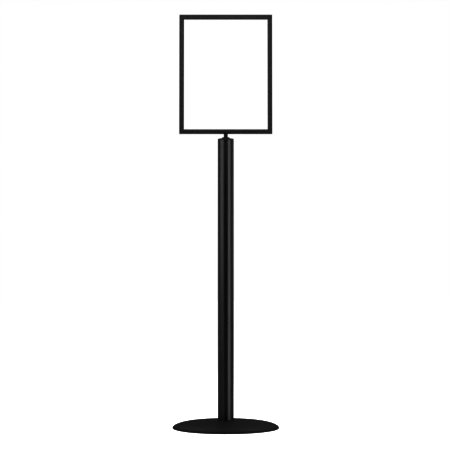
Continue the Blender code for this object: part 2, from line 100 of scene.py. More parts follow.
POST_RADIUS = 0.0256
SLOT_HALF_WIDTH = 0.0055
SLOT_CAVITY_HALF_WIDTH = 0.0085
SLOT_CAVITY_TOP = 0.0214
SLOT_FLOOR = 0.0125
BORE_RADIUS = 0.0080
LOBE_OFFSET = 0.0138
LOBE_RADIUS = 0.0040
CAP_NOTCH_FLOOR = 0.0211
CAP_HOLE = 0.0066
CAP_GAP = 0.0003                # between the column's end and the cap
PEG_RADIUS = 0.0036

STEM_CLEARANCE_HOLE = 0.0062    # in the bushes, the thrust washer and the collar
STEM_SCREW_HOLE = 0.0027
STEM_SCREW_DEPTH = 0.013

RAIL_FACE = 0.0140
RAIL_BEVEL = 0.0030
RAIL_WALL = 0.0020
KEY_CHANNEL_END = 0.0074
RIB_THICKNESS = 0.0012
CHANNEL_HALF_WIDTH = 0.0042
GROOVE_HALF_WIDTH = 0.0022
MITRE_GAP = 0.00002
CORNERS = ("bottom_left", "bottom_right", "top_right", "top_left")
KEY_LEG = 0.0048
KEY_SCREW_DISTANCE = 0.024      # from the frame's corner along the rail
KEY_SCREW_RADIUS = 0.0015
KEY_SCREW_CLEARANCE = 0.0004

# ---- stage -----------------------------------------------------------------------

CAMERA_LENS = 101.55            # millimetres on a 36 mm sensor
CAMERA_PLACE = (-0.0024, -4.0, 0.4503)
CAMERA_TIP = 2.67               # degrees above level

# Name, azimuth in degrees, distance, width, bottom, top and power in watts.
SOFTBOXES = (
    ("left_softbox", -57, 2.75, 2.7, 0.50, 2.2, 55),
    ("right_softbox", 49, 2.75, 1.9, -0.35, 2.0, 68),
    ("front_top_softbox", 0, 3.2, 1.3, 1.45, 2.3, 14),
    ("front_low_softbox", -5, 3.2, 3.6, -0.60, 0.30, 5),
    ("right_rim_strip", 110, 2.5, 0.7, 0.40, 2.0, 6),
    ("left_rim_strip", -118, 2.5, 0.5, -0.30, 2.0, 4),
    ("back_left_softbox", -140, 2.3, 1.6, 2.20, 3.4, 30),
    ("back_right_softbox", 140, 2.3, 1.6, 2.20, 3.4, 30),
)


# ---- outlines -------------------------------------------------------------

def bend(start, corner, end, steps):
    """Points of a curve that leaves start towards corner and arrives at end."""
    points = []
    for step in range(steps + 1):
        t = step / steps
        points.append(tuple(start.lerp(corner, t).lerp(corner.lerp(end, t), t)))
    return points


def rounded(points, radius, steps=CORNER_STEPS):
    """Round a closed outline's corners to a radius, using less than half of each side."""
    nearly_straight = math.radians(172)
    result = []
    for index, point in enumerate(points):
        here = Vector(point)
        before = Vector(points[index - 1]) - here
        after = Vector(points[(index + 1) % len(points)]) - here
        angle = before.angle(after)
        if angle > nearly_straight:
            result.append(tuple(here))
            continue
        reach = min(radius / math.tan(angle / 2), before.length * 0.45, after.length * 0.45)
        start = here + before.normalized() * reach
        result += bend(start, here, here + after.normalized() * reach, steps)
    return result


def softened(points, reaches):
    """Round each corner of a closed outline from its own reach along both sides; 0 leaves it."""
    result = []
    for index, (point, reach) in enumerate(zip(points, reaches)):
        if reach == 0:
            result.append(point)
            continue
        here = Vector(point)
        back = Vector(points[index - 1]) - here
        forth = Vector(points[(index + 1) % len(points)]) - here
        reach = min(reach, back.length * 0.6, forth.length * 0.6)
        start = here + back.normalized() * reach
        result += bend(start, here, here + forth.normalized() * reach, CORNER_STEPS)
    return result


def circle(radius, count, centre=(0, 0)):
    angles = [2 * math.pi * i / count for i in range(count)]
    return [(centre[0] + radius * math.cos(a), centre[1] + radius * math.sin(a)) for a in angles]


def quarter_turns(points):
    """The points and their copies after one, two and three quarter turns about the Z axis."""
    result = []
    for quarter in range(4):
        spin = Matrix.Rotation(QUARTER * quarter, 2)
        result += [tuple(spin @ Vector(point)) for point in points]
    return result


# ---- meshes ---------------------------------------------------------------

def shade(mesh):
    mesh.shade_smooth()
    mesh.set_sharp_from_angle(angle=SHARP_ANGLE)


def finish_mesh(name, bm):
    bmesh.ops.recalc_face_normals(bm, faces=bm.faces)
    mesh = bpy.data.meshes.new(name)
    bm.to_mesh(mesh)
    bm.free()
    shade(mesh)
    return mesh


def add_walls(bm, ring, following):
    """Faces between two closed rows of vertices."""
    for i in range(len(ring)):
        j = (i + 1) % len(ring)
        corners = list(dict.fromkeys((ring[i], ring[j], following[j], following[i])))
        if len(corners) > 2:
            bm.faces.new(corners)


def loft(name, rings, steps=ROUND_STEPS):
    """A body turned about Z from a closed outline of rings.

    A ring is (radius, z), or a function from an angle to (radius, z) where it isn't round.
    """
    bm = bmesh.new()
    made = []
    for ring in rings:
        if not callable(ring) and ring[0] == 0:
            made.append([bm.verts.new((0, 0, ring[1]))] * steps)
            continue
        verts = []
        for i in range(steps):
            angle = 2 * math.pi * i / steps
            radius, z = ring(angle) if callable(ring) else ring
            verts.append(bm.verts.new((radius * math.cos(angle), radius * math.sin(angle), z)))
        made.append(verts)
    for ring, following in zip(made, made[1:] + made[:1]):
        add_walls(bm, ring, following)
    return finish_mesh(name, bm)


def section_prism(name, loops, bottom, top):
    """Extrude a section along Z: the first loop is its outline and the others are holes."""
    bm = bmesh.new()
    levels = {bottom: [], top: []}
    for loop in loops:
        low = [bm.verts.new((x, y, bottom)) for x, y in loop]
        high = [bm.verts.new((x, y, top)) for x, y in loop]
        for i in range(len(loop)):
            j = (i + 1) % len(loop)
            wall = bm.faces.new((low[i], low[j], high[j], high[i]))
            levels[bottom].append(wall.edges[0])
            levels[top].append(wall.edges[2])
    for edges in levels.values():
        bmesh.ops.triangle_fill(bm, edges=edges, use_beauty=True, use_dissolve=False)
    return finish_mesh(name, bm)


def inset(points, distance):
    """Move a closed outline's points towards its inside, or outwards for a negative distance."""
    following = points[1:] + points[:1]
    area = sum(a[0] * b[1] - b[0] * a[1] for a, b in zip(points, following))
    side = distance if area > 0 else -distance
    result = []
    for before, here, after in zip(points[-1:] + points[:-1], points, following):
        arriving = (Vector(here) - Vector(before)).normalized()
        leaving = (Vector(after) - Vector(here)).normalized()
        middle = (arriving + leaving).normalized()
        reach = side / max(0.3, middle.dot(arriving))
        result.append((here[0] - middle.y * reach, here[1] + middle.x * reach))
    return result


def soft_prism(name, loops, bottom, top, edge, steps=CORNER_STEPS):
    """Like section_prism, with every rim at the top and bottom rounded to the radius edge.

    A narrow flat band follows each rounding, and the filled ends inside it are shaded flat.
    """
    quarter = [QUARTER * i / steps for i in range(steps + 1)]
    fillet = [(edge * (1 - math.cos(a)), edge * (1 - math.sin(a))) for a in quarter]
    flat = edge * 1.15
    levels = [(flat, bottom)] + [(depth, bottom + height) for depth, height in fillet[::-1]]
    levels += [(depth, top - height) for depth, height in fillet] + [(flat, top)]
    bm = bmesh.new()
    ends = ([], [])
    for number, loop in enumerate(loops):
        towards_material = 1 if number == 0 else -1
        rings = [[bm.verts.new((x, y, z)) for x, y in inset(loop, depth * towards_material)]
                 for depth, z in levels]
        for low, high in zip(rings, rings[1:]):
            add_walls(bm, low, high)
        for end, ring in zip(ends, (rings[0], rings[-1])):
            end += [bm.edges.get((ring[i - 1], ring[i])) for i in range(len(ring))]
    for end in ends:
        filled = bmesh.ops.triangle_fill(bm, edges=end, use_beauty=True, use_dissolve=False)
        for item in filled["geom"]:
            if isinstance(item, bmesh.types.BMFace):
                item.material_index = 1
    mesh = finish_mesh(name, bm)
    for polygon in mesh.polygons:
        if polygon.material_index == 1:
            polygon.use_smooth = False
            polygon.material_index = 0
    return mesh


def hexagon(apothem, z, lift=0.0):
    """A ring function for a hexagon, whose corners rise by lift for each metre past the chamfer."""
    def ring(angle):
        within = (angle % math.radians(60)) - math.radians(30)
        radius = apothem / math.cos(within)
        return radius, z + (radius - apothem * HEX_CHAMFER) * lift
    return ring


def thread(radius, depth, pitch, bottom, top):
    """Rings of a screw thread that rises from bottom to top, faded out at both ends."""
    count = max(2, round((top - bottom) / pitch * THREAD_STEPS))
    rings = []
    for step in range(count + 1):
        z = bottom + (top - bottom) * step / count
        fade = min(1.0, (z - bottom) / pitch, (top - z) / pitch)

        def ring(angle, z=z, fade=fade):
            phase = (z / pitch - angle / (2 * math.pi)) % 1.0
            return radius - depth * fade * abs(2 * phase - 1), z
        rings.append(ring)
    return rings


def new_piece(mesh, material):
    """An object that has its mesh's name."""
    piece = bpy.data.objects.new(mesh.name, mesh)
    bpy.context.scene.collection.objects.link(piece)
    mesh.materials.clear()
    mesh.materials.append(material)
    return piece


def install(piece, node):
    """The piece stands for a CAD node: it rides on that node's body, and the node is hidden."""
    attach(piece, BODY_OF[node])
    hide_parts(node)


def drill(radius, place):
    """A cutter for a round hole through one wall, along Z and then moved by the matrix place."""
    half_length = 0.004
    outline = [(0, -half_length), (radius, -half_length), (radius, half_length), (0, half_length)]
    mesh = loft("hole", outline, HOLE_STEPS)
    mesh.transform(place)
    return mesh


def cut(piece, cutter_meshes):
    """Cut holes, apply the modifiers and drop the cutters."""
    cutters = []
    for mesh in cutter_meshes:
        cutter = bpy.data.objects.new("cutter", mesh)
        bpy.context.scene.collection.objects.link(cutter)
        modifier = piece.modifiers.new("hole", "BOOLEAN")
        modifier.operation = "DIFFERENCE"
        modifier.solver = "EXACT"
        modifier.object = cutter
        cutters.append(cutter)
    bpy.context.view_layer.update()
    evaluated = piece.evaluated_get(bpy.context.evaluated_depsgraph_get())
    mesh = bpy.data.meshes.new_from_object(evaluated)
    piece.modifiers.clear()
    piece.data = mesh
    for cutter in cutters:
        bpy.data.objects.remove(cutter)
    shade(mesh)


# ---- materials --------------------------------------------------------------

def map_range(tree, value, limits, interpolation="LINEAR"):
    """A Map Range node for limits of from min, from max, to min and to max."""
    node = tree.nodes.new("ShaderNodeMapRange")
    node.interpolation_type = interpolation
    for socket, limit in zip(("From Min", "From Max", "To Min", "To Max"), limits):
        node.inputs[socket].default_value = limit
    tree.links.new(value, node.inputs["Value"])
    return node.outputs["Result"]


class Finish:
    """A Principled material and short calls for the nodes that vary it."""

    def __init__(self, name, colour, roughness, metallic=0.0, specular=0.5):
        self.material = bpy.data.materials.new(name)
        self.material.use_nodes = True
        self.tree = self.material.node_tree
        self.shader = self.tree.nodes["Principled BSDF"]
        self.shader.inputs["Base Color"].default_value = (*colour, 1)
        self.shader.inputs["Roughness"].default_value = roughness
        self.shader.inputs["Metallic"].default_value = metallic
        self.shader.inputs["Specular IOR Level"].default_value = specular
        self.coordinates = self.tree.nodes.new("ShaderNodeTexCoord").outputs["Object"]
        self.height = None

    def link(self, source, target):
        self.tree.links.new(source, target)

    def stretched(self, scale):
        """Object coordinates multiplied by a scale for each axis."""
        mapping = self.tree.nodes.new("ShaderNodeMapping")
        mapping.inputs["Scale"].default_value = scale
        self.link(self.coordinates, mapping.inputs["Vector"])
        return mapping.outputs["Vector"]

    def noise(self, scale, detail=2.0, roughness=0.5, vector=None):
        node = self.tree.nodes.new("ShaderNodeTexNoise")
        node.inputs["Scale"].default_value = scale
        node.inputs["Detail"].default_value = detail
        node.inputs["Roughness"].default_value = roughness
        self.link(vector or self.coordinates, node.inputs["Vector"])
        return node.outputs["Fac"]

    def cells(self, scale):
        node = self.tree.nodes.new("ShaderNodeTexVoronoi")
        node.inputs["Scale"].default_value = scale
        self.link(self.coordinates, node.inputs["Vector"])
        return node.outputs["Distance"]

    def remap(self, value, low, high, to_low=0.0, to_high=1.0):
        return map_range(self.tree, value, (low, high, to_low, to_high))

    def product(self, first, second):
        node = self.tree.nodes.new("ShaderNodeMath")
        node.operation = "MULTIPLY"
        self.link(first, node.inputs[0])
        self.link(second, node.inputs[1])
        return node.outputs["Value"]

    def blend(self, factor, first, second):
        """Mix two colours, each a tuple or an output."""
        node = self.tree.nodes.new("ShaderNodeMix")
        node.data_type = "RGBA"
        self.link(factor, node.inputs["Factor"])
        for socket, value in ((node.inputs["A"], first), (node.inputs["B"], second)):
            if isinstance(value, tuple):
                socket.default_value = (*value, 1)
            else:
                self.link(value, socket)
        return node.outputs["Result"]

    def colour(self, output):
        self.link(output, self.shader.inputs["Base Color"])

    def roughness(self, value, low, high, to_low, to_high):
        self.link(self.remap(value, low, high, to_low, to_high), self.shader.inputs["Roughness"])

    def bump(self, value, distance, strength):
        """Stack a height on top of the bumps already there."""
        node = self.tree.nodes.new("ShaderNodeBump")
        node.inputs["Strength"].default_value = strength
        node.inputs["Distance"].default_value = distance
        self.link(value, node.inputs["Height"])
        if self.height is not None:
            self.link(self.height, node.inputs["Normal"])
        self.height = node.outputs["Normal"]
        self.link(self.height, self.shader.inputs["Normal"])


def powder_coat(name, dark, light, roughness, specular, relief):
    """Satin powder coat: an orange-peel skin with that relief, slow changes in gloss, rare dust."""
    finish = Finish(name, dark, roughness, specular=specular)
    skin = finish.noise(scale=620, detail=3.0, roughness=0.55)
    grain = finish.noise(scale=2600)
    broad = finish.noise(scale=11, detail=5.0, roughness=0.6)
    patchy = finish.noise(scale=6)
    specks = finish.remap(finish.cells(scale=210), low=0.0, high=0.045, to_low=1.0, to_high=0.0)
    dust = finish.product(specks, finish.remap(patchy, low=0.52, high=0.7, to_high=0.6))
    dust_colour = tuple(3 * value for value in light)
    tone = finish.blend(finish.remap(broad, low=0.35, high=0.65), dark, light)
    finish.colour(finish.blend(dust, tone, dust_colour))
    finish.roughness(broad, low=0.35, high=0.65, to_low=roughness - 0.07, to_high=roughness + 0.07)
    finish.bump(skin, distance=relief, strength=0.8)
    finish.bump(grain, distance=relief / 5, strength=0.6)
    return finish.material


def anodised_extrusion():
    """Black anodised aluminium with fine die lines along the column."""
    dark = (0.020, 0.020, 0.021)
    light = (0.030, 0.030, 0.031)
    finish = Finish("black_anodised_extrusion", dark, roughness=0.30, metallic=0.25)
    die_lines = finish.noise(1.0, detail=3.0, roughness=0.6, vector=finish.stretched((2600, 2600, 3)))
    streaks = finish.noise(1.0, vector=finish.stretched((420, 420, 1.6)))
    broad = finish.noise(scale=7)
    finish.colour(finish.blend(finish.remap(streaks, low=0.3, high=0.7), dark, light))
    finish.roughness(broad, low=0.3, high=0.7, to_low=0.27, to_high=0.34)
    finish.bump(die_lines, distance=0.00003, strength=0.7)
    finish.bump(finish.noise(scale=1900), distance=0.00002, strength=0.5)
    return finish.material


def moulded_plastic():
    """Black moulded plastic with a fine spark-eroded texture."""
    finish = Finish("black_moulded_plastic", (0.017, 0.017, 0.0175), roughness=0.48, specular=0.36)
    grain = finish.noise(scale=2400, detail=3.0, roughness=0.6)
    broad = finish.noise(scale=40)
    finish.colour(finish.blend(broad, (0.014, 0.014, 0.0145), (0.020, 0.020, 0.0205)))
    finish.roughness(grain, low=0.3, high=0.7, to_low=0.42, to_high=0.56)
    finish.bump(grain, distance=0.00006, strength=0.6)
    return finish.material


def black_rubber():
    """Matte rubber with mould grain and a faint bloom."""
    finish = Finish("black_rubber_ring", (0.026, 0.026, 0.026), roughness=0.78, specular=0.35)
    grain = finish.noise(scale=1800, detail=4.0, roughness=0.65)
    bloom = finish.noise(scale=22, detail=4.0)
    finish.colour(finish.blend(finish.remap(bloom, low=0.45, high=0.75),
                               (0.024, 0.024, 0.024), (0.050, 0.050, 0.048)))
    finish.roughness(grain, low=0.3, high=0.7, to_low=0.70, to_high=0.88)
    finish.bump(grain, distance=0.00006, strength=0.6)
    return finish.material


def cast_iron():
    """Dark sand-cast iron: pitted, with a few rust-brown patches."""
    finish = Finish("sand_cast_iron", (0.05, 0.048, 0.046), roughness=0.72, metallic=0.6)
    sand = finish.noise(scale=620, detail=6.0, roughness=0.7)
    pits = finish.cells(scale=330)
    patches = finish.noise(scale=17, detail=5.0, roughness=0.65)
    grey = finish.blend(sand, (0.030, 0.029, 0.028), (0.085, 0.082, 0.078))
    rust = finish.remap(patches, low=0.56, high=0.72, to_high=0.7)
    finish.colour(finish.blend(rust, grey, (0.11, 0.045, 0.020)))
    finish.roughness(patches, low=0.3, high=0.7, to_low=0.60, to_high=0.88)
    finish.bump(sand, distance=0.00035, strength=0.7)
    finish.bump(finish.remap(pits, low=0.0, high=0.25), distance=0.00025, strength=0.5)
    return finish.material


def zinc_plate():
    """Bright zinc plate with drawn lines and a slight yellow-blue bloom."""
    finish = Finish("bright_zinc_plate", (0.56, 0.57, 0.58), roughness=0.32, metallic=1.0)
    bloom = finish.noise(scale=90, detail=3.0)
    lines = finish.noise(1.0, vector=finish.stretched((300, 5200, 300)))
    finish.colour(finish.blend(finish.remap(bloom, low=0.35, high=0.65),
                               (0.60, 0.61, 0.66), (0.62, 0.58, 0.47)))
    finish.roughness(lines, low=0.3, high=0.7, to_low=0.24, to_high=0.42)
    finish.bump(lines, distance=0.00001, strength=0.5)
    finish.bump(finish.noise(scale=1500), distance=0.00001, strength=0.4)
    return finish.material


def natural_nylon():
    """Off-white machined nylon with faint turning marks."""
    finish = Finish("natural_nylon", (0.70, 0.69, 0.64), roughness=0.52)
    rings = finish.noise(1.0, vector=finish.stretched((60, 60, 5200)))
    broad = finish.noise(scale=120)
    finish.colour(finish.blend(broad, (0.66, 0.65, 0.59), (0.74, 0.73, 0.69)))
    finish.roughness(rings, low=0.3, high=0.7, to_low=0.45, to_high=0.62)
    finish.bump(rings, distance=0.00002, strength=0.4)
    return finish.material


def make_materials():
    return {
        "coat": powder_coat("satin_powder_coat", (0.0130, 0.0130, 0.0134), (0.0180, 0.0180, 0.0185),
                            roughness=0.50, specular=0.12, relief=0.00018),
        "frame_coat": powder_coat("satin_frame_coat", (0.011, 0.011, 0.0115), (0.015, 0.015, 0.0155),
                                  roughness=0.32, specular=0.40, relief=0.00008),
        "anodised": anodised_extrusion(),
        "plastic": moulded_plastic(),
        "rubber": black_rubber(),
        "iron": cast_iron(),
        "zinc": zinc_plate(),
        "nylon": natural_nylon(),
    }


# ---- base -------------------------------------------------------------------

def cover_point(radius, base_radius, rim_z):
    """Height of the cover's outside: a shallow cone inside a round shoulder."""
    cone = CONE_RISE * (1 - radius / base_radius)
    across = max(0.0, (radius - (base_radius - SHOULDER_WIDTH)) / SHOULDER_WIDTH)
    return rim_z + cone + SHOULDER_RISE * math.sqrt(max(0.0, 1 - across * across))


def add_cover(materials):
    low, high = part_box("base_cover")
    base_radius, rim_z, seat_z = high.x, low.z, high.z
    outer = []
    for step in range(COVER_STEPS + 1):
        angle = QUARTER * (1 - step / COVER_STEPS)
        radius = base_radius - SHOULDER_WIDTH * (1 - math.sin(angle))
        outer.append(Vector((radius, cover_point(radius, base_radius, rim_z))))
    inner = []
    for index, point in enumerate(outer):
        ahead = outer[min(index + 1, COVER_STEPS)]
        behind = outer[max(index - 1, 0)]
        along = (ahead - behind).normalized() if index else Vector((0, 1))
        inner.append(point - Vector((along.y, -along.x)) * COVER_THICKNESS)
    hem = COVER_THICKNESS / 2
    roll = [(base_radius - hem - hem * math.cos(a), rim_z + hem - hem * math.sin(a))
            for a in (math.radians(15 * i) for i in range(1, 12))]
    body = [tuple(point) for point in outer if point.y > rim_z + hem]
    back = [tuple(point) for point in inner if point.y > rim_z + hem]
    body[0] = (base_radius, body[0][1])
    underside = seat_z - COVER_THICKNESS
    sag = 0.00007                   # of the bend below the seat
    rings = body + [(SEAT_RADIUS + SEAT_BLEND, seat_z - sag), (SEAT_RADIUS - SEAT_BLEND, seat_z),
                    (BOLT_HOLE_RADIUS, seat_z), (BOLT_HOLE_RADIUS, underside),
                    (SEAT_RADIUS, underside)]
    rings += back[::-1] + roll
    install(new_piece(loft("base_cover_spun", rings, BASE_STEPS), materials["coat"]), "base_cover")


def add_edge_ring(materials):
    low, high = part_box("base_edge_ring")
    outer = high.x
    top = low.z + RING_THICKNESS
    inner_edge, top_edge, lip_edge = 0.0004, 0.0003, 0.0006
    mouth, bed, depth = 0.0007, 0.0004, 0.0006      # half widths and depth of a groove
    rings = [(RING_INNER, inner_edge), (RING_INNER + inner_edge, 0)]
    for groove in RING_GROOVES:
        rings += [(groove - mouth, 0), (groove - bed, depth), (groove + bed, depth), (groove + mouth, 0)]
    rings += [(outer - RING_ROUND, 0)]
    rings += [(outer - RING_ROUND + RING_ROUND * math.sin(a), RING_ROUND - RING_ROUND * math.cos(a))
              for a in (math.radians(15 * i) for i in range(1, 7))]
    lip_inner, lip_outer = RING_LIP
    rings += [(outer, top - top_edge), (outer - top_edge, top),
              (lip_outer, top), (lip_outer, high.z - lip_edge), (lip_outer - lip_edge, high.z),
              (lip_inner + lip_edge, high.z), (lip_inner, high.z - lip_edge), (lip_inner, top),
              (RING_INNER + inner_edge, top), (RING_INNER, top - inner_edge)]
    piece = new_piece(loft("base_ring_rubber", rings, BASE_STEPS), materials["rubber"])
    install(piece, "base_edge_ring")


def add_weight(materials):
    low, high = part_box("base_weight")
    cover_low, cover_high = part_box("base_cover")
    outer, bottom, top = high.x, low.z, high.z
    well, well_top = WEIGHT_WELL
    profile = [(well, bottom)]
    for start, bed_start, bed_end, end in WEIGHT_RECESSES:
        bed = bottom + WEIGHT_RECESS_DEPTH
        profile += [(start, bottom), (bed_start, bed), (bed_end, bed), (end, bottom)]
    profile.append((outer, bottom))
    profile += [(radius, cover_point(radius, cover_high.x, cover_low.z) - WEIGHT_GAP)
                for radius in (outer, *WEIGHT_SLOPE)]
    profile += [(WEIGHT_SEAT, top), (WEIGHT_BORE, top), (WEIGHT_BORE, well_top), (well, well_top)]
    profile = rounded(profile, 0.0008, 3)
    piece = new_piece(loft("base_weight_casting", profile, WEIGHT_STEPS), materials["iron"])
    install(piece, "base_weight")


def add_base_bolt(materials):
    low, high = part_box("base_bolt")
    apothem = min(high.x, high.y)
    shank, head_height, dimple = 0.0049, 0.0062, 0.0004
    face, face_height = apothem * 0.93, 0.0006      # the washer face under the head
    head_top = low.z + head_height
    rings = [(0, low.z + dimple), (apothem * 0.62, low.z + dimple), (apothem * 0.66, low.z),
             (apothem * HEX_CHAMFER, low.z), hexagon(apothem, low.z, HEX_CHAMFER_SLOPE),
             hexagon(apothem, head_top - face_height), (face, head_top - face_height),
             (face, head_top), (shank, head_top)]
    rings += thread(shank, 0.0009, BASE_PITCH, head_top + 0.0008, high.z - 0.0010)
    rings += [(0.0037, high.z), (0, high.z)]
    install(new_piece(loft("base_bolt_hex", rings), materials["zinc"]), "base_bolt")


def flat_washer(name, node, hole, edge):
    """A flat ring that fills the node's box, with its corners rounded to the radius edge."""
    low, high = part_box(node)
    outline = [(hole, low.z), (high.x, low.z), (high.x, high.z), (hole, high.z)]
    return loft(name, rounded(outline, edge, 3))


def add_base_washers(materials):
    washer = flat_washer("base_washer_flat", "base_washer", BASE_WASHER_HOLE, 0.0003)
    install(new_piece(washer, materials["zinc"]), "base_washer")

    low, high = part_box("base_lock_washer")
    inner, outer = BASE_WASHER_HOLE, -low.x
    split = math.radians(14)
    rise, edge, steps = 0.0003, 0.0002, 60
    bottom, top = low.z + edge, high.z - edge
    corners = rounded([(inner, bottom), (outer, bottom), (outer, top), (inner, top)], edge, 2)
    bm = bmesh.new()
    rows = []
    for step in range(steps + 1):
        angle = split / 2 + (2 * math.pi - split) * step / steps
        lift = rise * (step / steps - 0.5)
        rows.append([bm.verts.new((r * math.cos(angle), r * math.sin(angle), z + lift))
                     for r, z in corners])
    for row, following in zip(rows, rows[1:]):
        add_walls(bm, row, following)
    bm.faces.new(rows[0])
    bm.faces.new(rows[-1])
    piece = new_piece(finish_mesh("base_lock_washer_split", bm), materials["zinc"])
    install(piece, "base_lock_washer")


def add_foot_insert(materials):
    low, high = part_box("post_foot_insert")
    mouth, root, edge = 0.0056, 0.0060, 0.0005
    rings = [(mouth, low.z), (high.x - edge, low.z), (high.x, low.z + edge),
             (high.x, high.z - edge), (high.x - edge, high.z), (mouth, high.z)]
    rings += thread(root, 0.0007, BASE_PITCH, low.z + edge, high.z - edge)[::-1]
    mesh = loft("post_foot_insert_threaded", rings)
    install(new_piece(mesh, materials["zinc"]), "post_foot_insert")


# ---- column ------------------------------------------------------------------

def rim_points(steps):
    """The column's round outside between two slots, from one slot's mouth to the next."""
    mouth = math.asin(SLOT_HALF_WIDTH / POST_RADIUS)
    sweep = QUARTER - 2 * mouth
    angles = [mouth + sweep * i / steps for i in range(steps + 1)]
    return [(POST_RADIUS * math.cos(a), POST_RADIUS * math.sin(a)) for a in angles]


def column_outline():
    mouth = POST_RADIUS * math.cos(math.asin(SLOT_HALF_WIDTH / POST_RADIUS))
    groove = 0.0006
    slot = [(mouth, -SLOT_HALF_WIDTH), (SLOT_CAVITY_TOP, -SLOT_HALF_WIDTH),
            (SLOT_CAVITY_TOP, -SLOT_CAVITY_HALF_WIDTH), (SLOT_FLOOR, -SLOT_CAVITY_HALF_WIDTH),
            (SLOT_FLOOR, -groove), (SLOT_FLOOR - groove, 0), (SLOT_FLOOR, groove),
            (SLOT_FLOOR, SLOT_CAVITY_HALF_WIDTH), (SLOT_CAVITY_TOP, SLOT_CAVITY_HALF_WIDTH),
            (SLOT_CAVITY_TOP, SLOT_HALF_WIDTH), (mouth, SLOT_HALF_WIDTH)]
    lip, neck, corner = 0.0007, 0.0004, 0.0010
    slot_reaches = [lip, neck, corner, corner, 0, 0, 0, corner, corner, neck, lip]
    rim = rim_points(28)[1:-1]
    return softened(quarter_turns(slot + rim), (slot_reaches + [0] * len(rim)) * 4)


def add_column(materials):
    low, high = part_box("post_extrusion")
    loops = [column_outline(), circle(BORE_RADIUS, 48)]
    loops += [circle(LOBE_RADIUS, 28, centre) for centre in quarter_turns([(LOBE_OFFSET, LOBE_OFFSET)])]
    mesh = section_prism("post_column", loops, low.z, high.z)
    install(new_piece(mesh, materials["anodised"]), "post_extrusion")


def add_cap(materials):
    low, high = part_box("post_top_cap")
    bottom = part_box("post_extrusion")[1].z + CAP_GAP
    notch = [(CAP_NOTCH_FLOOR, -SLOT_HALF_WIDTH), (CAP_NOTCH_FLOOR, SLOT_HALF_WIDTH)]
    rim = rim_points(14)
    corner = 0.0012
    reaches = [corner] * 3 + [0] * (len(rim) - 2) + [corner]
    outline = softened(quarter_turns(notch + rim), reaches * 4)
    mesh = soft_prism("post_cap_moulded", [outline, circle(CAP_HOLE, 48)], bottom, high.z, 0.0005)
    install(new_piece(mesh, materials["plastic"]), "post_top_cap")

    tip, taper, peg_top = 0.0029, 0.0012, bottom - 0.0001
    for number, centre in enumerate(quarter_turns([(LOBE_OFFSET, LOBE_OFFSET)])):
        rings = [(0, low.z), (tip, low.z), (PEG_RADIUS, low.z + taper), (PEG_RADIUS, peg_top),
                 (0, peg_top)]
        mesh = loft(f"post_cap_peg_{number + 1}", rings, HOLE_STEPS)
        mesh.transform(Matrix.Translation((*centre, 0)))
        peg = new_piece(mesh, materials["plastic"])
        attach(peg, BODY_OF["post_top_cap"])


# ---- swivel -------------------------------------------------------------------

def add_bearings(materials):
    finishes = {"stem_upper_bush": "nylon", "stem_lower_bush": "nylon", "swivel_thrust_washer": "plastic"}
    for node, material in finishes.items():
        low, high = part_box(node)
        edge = min(0.0006, (high.z - low.z) / 4)
        mesh = flat_washer(f"{node}_turned", node, STEM_CLEARANCE_HOLE, edge)
        install(new_piece(mesh, materials[material]), node)


def add_stem(materials):
    low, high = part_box("stem")
    radius = high.x
    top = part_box("frame_bottom_rail")[0].z - 0.00003
    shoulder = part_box("stem_retaining_washer")[1].z + 0.0003
    shoulder_edge, top_edge = 0.0006, 0.0002
    rings = [(0, low.z), (0.0032, low.z)]
    rings += thread(0.0040, 0.0007, STEM_PITCH, low.z + 0.0006, shoulder - 0.0004)
    rings += [(0.0038, shoulder), (radius - shoulder_edge, shoulder), (radius, shoulder + shoulder_edge),
              (radius, top - top_edge), (radius - top_edge, top), (STEM_SCREW_HOLE, top),
              (STEM_SCREW_HOLE, top - STEM_SCREW_DEPTH), (0, top - STEM_SCREW_DEPTH - 0.0015)]
    install(new_piece(loft("stem_rod", rings), materials["coat"]), "stem")


def add_collar(materials):
    low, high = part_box("stem_collar")
    hole, shoulder = STEM_CLEARANCE_HOLE, 0.0100
    step_z = low.z + (high.z - low.z) * 0.4
    outline = [(hole, low.z), (high.x, low.z), (high.x, step_z), (shoulder, high.z), (hole, high.z)]
    mesh = loft("stem_collar_turned", rounded(outline, 0.0004))
    install(new_piece(mesh, materials["coat"]), "stem_collar")


def add_stem_nut(materials):
    washer = flat_washer("stem_washer_flat", "stem_retaining_washer", 0.0043, 0.0002)
    install(new_piece(washer, materials["zinc"]), "stem_retaining_washer")

    low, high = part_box("stem_lock_nut")
    apothem = min(high.x, high.y)
    mouth, root = 0.0044, 0.0047
    rings = [(mouth, low.z), (apothem * HEX_CHAMFER, low.z),
             hexagon(apothem, low.z, HEX_CHAMFER_SLOPE), hexagon(apothem, high.z, -HEX_CHAMFER_SLOPE),
             (apothem * HEX_CHAMFER, high.z), (mouth, high.z)]
    rings += thread(root, 0.0005, STEM_PITCH, low.z + 0.0003, high.z - 0.0003)[::-1]
    install(new_piece(loft("stem_nut_hex", rings), materials["zinc"]), "stem_lock_nut")


# ---- sign frame ---------------------------------------------------------------

